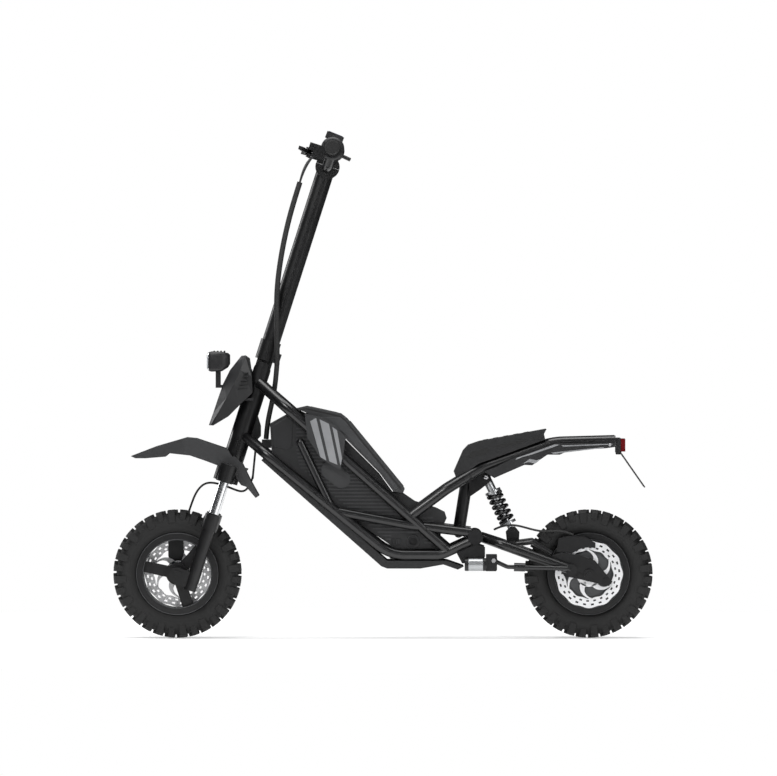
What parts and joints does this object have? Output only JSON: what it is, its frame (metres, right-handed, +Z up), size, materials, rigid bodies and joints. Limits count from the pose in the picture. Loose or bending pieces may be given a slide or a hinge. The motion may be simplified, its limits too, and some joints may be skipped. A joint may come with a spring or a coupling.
{
  "type": "electric kick scooter",
  "caption": "Electric kick scooter with a folding stem, front fork, rear swingarm with coil shock, knobby tyres, battery body and side stand.",
  "frame": {"origin": "on the ground under the middle of the scooter, centre of the bounding box's underside", "axes": "-X is forwards, -Y is the left side seen in the picture, +Z is up; metres"},
  "size_m": [1.273, 0.658, 1.1983],
  "materials": {
    "frame_paint": "satin",
    "dark_plastic": "satin",
    "grey_plastic": "satin",
    "black_plastic": "matte",
    "chrome": "polished",
    "steel": "satin",
    "silver": "satin",
    "black_alloy": "satin",
    "hub_grey": "satin",
    "tyre": "matte",
    "rubber": "matte",
    "red_lens": "gloss",
    "clear_lens": "gloss",
    "screen": "gloss",
    "spring_steel": "gloss",
    "cells": "matte"
  },
  "bodies": {
    "frame": {"head_tube": "frame_paint", "upper_frame_tubes": "frame_paint", "lower_frame_tubes": "frame_paint", "middle_frame_tubes": "frame_paint", "seat_frame_tubes": "frame_paint", "cross_tubes": "frame_paint", "frame_brackets": "frame_paint", "frame_pins": "steel", "headset_bearings": "steel", "belly_pan": "dark_plastic", "battery_case": "dark_plastic", "battery_and_controller": "cells", "charge_port": "black_plastic", "battery_top_cover": "grey_plastic", "side_panels": "dark_plastic", "seat_cowl": "dark_plastic", "tail_fairings": "dark_plastic", "tail_light_housing": "black_plastic", "tail_light_lens": "red_lens", "front_mask": "grey_plastic", "headlight_bracket": "black_plastic", "stand_mount": "silver", "lower_harness": "rubber"},
    "power_button": {"power_button": "black_plastic"},
    "headlight": {"headlight_housing": "black_plastic", "headlight_lens": "clear_lens"},
    "steering": {"fork_crown": "black_alloy", "fork_stanchions": "chrome", "fold_base": "black_alloy", "front_fender": "grey_plastic", "front_brake_hose": "rubber"},
    "stem": {"stem_tube": "black_alloy", "handlebar": "frame_paint", "grips": "rubber", "bar_controls": "grey_plastic", "display": "screen", "brake_perches": "black_alloy", "control_cables": "rubber"},
    "left_lever": {"left_brake_lever": "black_alloy"},
    "right_lever": {"right_brake_lever": "black_alloy"},
    "throttle": {"thumb_throttle": "black_plastic"},
    "latch": {"fold_latch": "steel"},
    "fork_lowers": {"fork_lower_legs": "black_alloy", "front_axle": "steel", "front_caliper": "black_alloy"},
    "front_wheel": {"front_rim": "black_alloy", "front_tyre": "tyre", "front_brake_disc": "steel"},
    "swingarm": {"swingarm": "frame_paint", "dropout_plates": "steel", "rear_axle": "steel", "rear_caliper": "black_alloy", "rear_brake_hose": "rubber"},
    "rear_wheel": {"hub_motor_shell": "hub_grey", "rear_tyre": "tyre", "rear_brake_disc": "steel"},
    "shock_body": {"shock_body": "silver", "shock_spring": "spring_steel"},
    "shock_rod": {"shock_rod": "silver"},
    "side_stand": {"side_stand": "frame_paint"}
  },
  "joints": [
    {"name": "steering_turn", "type": "hinge", "parent": "frame", "child": "steering", "pos_m": [-0.33555, 0, 0.47622], "axis": [0.3047, 0, 0.9524], "range_deg": [-40, 40], "deforming": ["lower_harness"]},
    {"name": "stem_fold", "type": "hinge", "parent": "steering", "child": "stem", "pos_m": [-0.28619, 0, 0.63052], "axis": [0, 1, 0], "range_deg": [0, 72]},
    {"name": "fork_slide", "type": "slide", "parent": "steering", "child": "fork_lowers", "axis": [0.3047, 0, 0.9524], "range_m": [0, 0.06], "stiffness_N_per_m": 8000, "springref_m": -0.035, "deforming": ["front_brake_hose"]},
    {"name": "front_wheel_spin", "type": "hinge", "parent": "fork_lowers", "child": "front_wheel", "pos_m": [-0.485, 0, 0.1515], "axis": [0, 1, 0], "continuous": true},
    {"name": "swingarm_swing", "type": "hinge", "parent": "frame", "child": "swingarm", "pos_m": [0.2174, 0, 0.2395], "axis": [0, -1, 0], "range_deg": [0, 12], "stiffness_Nm_per_rad": 400, "springref_deg": -14.32, "deforming": ["rear_brake_hose"]},
    {"name": "rear_wheel_spin", "type": "hinge", "parent": "swingarm", "child": "rear_wheel", "pos_m": [0.485, 0, 0.1515], "axis": [0, 1, 0], "continuous": true},
    {"name": "shock_swing", "type": "hinge", "parent": "frame", "child": "shock_body", "pos_m": [0.2426, 0, 0.3797], "axis": [0, -1, 0], "range_deg": [0, 2.17]},
    {"name": "shock_slide", "type": "slide", "parent": "shock_body", "child": "shock_rod", "axis": [-0.4345, 0, 0.9007], "range_m": [0, 0.01824], "deforming": ["shock_spring"]},
    {"name": "left_lever_pull", "type": "hinge", "parent": "stem", "child": "left_lever", "pos_m": [-0.17415, -0.17, 1.14484], "axis": [0.3047, 0, 0.9524], "range_deg": [0, 20], "stiffness_Nm_per_rad": 0.6, "springref_deg": -14.32},
    {"name": "right_lever_pull", "type": "hinge", "parent": "stem", "child": "right_lever", "pos_m": [-0.17415, 0.17, 1.14484], "axis": [-0.3047, 0, -0.9524], "range_deg": [0, 20], "stiffness_Nm_per_rad": 0.6, "springref_deg": -14.32},
    {"name": "throttle_push", "type": "hinge", "parent": "stem", "child": "throttle", "pos_m": [-0.11798, 0.155, 1.15207], "axis": [0, 1, 0], "range_deg": [0, 35], "stiffness_Nm_per_rad": 0.12, "springref_deg": -17.19},
    {"name": "latch_open", "type": "hinge", "parent": "stem", "child": "latch", "pos_m": [-0.24373, 0, 0.66314], "axis": [0, -1, 0], "range_deg": [0, 45], "stiffness_Nm_per_rad": 0.05, "springref_deg": -22.92},
    {"name": "headlight_tilt", "type": "hinge", "parent": "frame", "child": "headlight", "pos_m": [-0.389, 0, 0.63], "axis": [0, 1, 0], "range_deg": [-10, 10]},
    {"name": "power_press", "type": "slide", "parent": "frame", "child": "power_button", "axis": [0, 1, 0], "range_m": [0, 0.0015], "stiffness_N_per_m": 1500, "springref_m": -0.0005},
    {"name": "stand_swing", "type": "hinge", "parent": "frame", "child": "side_stand", "pos_m": [0.26, -0.099, 0.185], "axis": [0, 1, 0], "range_deg": [0, 85]}
  ],
  "couplings": [
    {"joint": "shock_swing", "follows": "swingarm_swing", "ratio": 0.1774},
    {"joint": "shock_slide", "follows": "swingarm_swing", "m_per_rad": 0.0854}
  ]
}
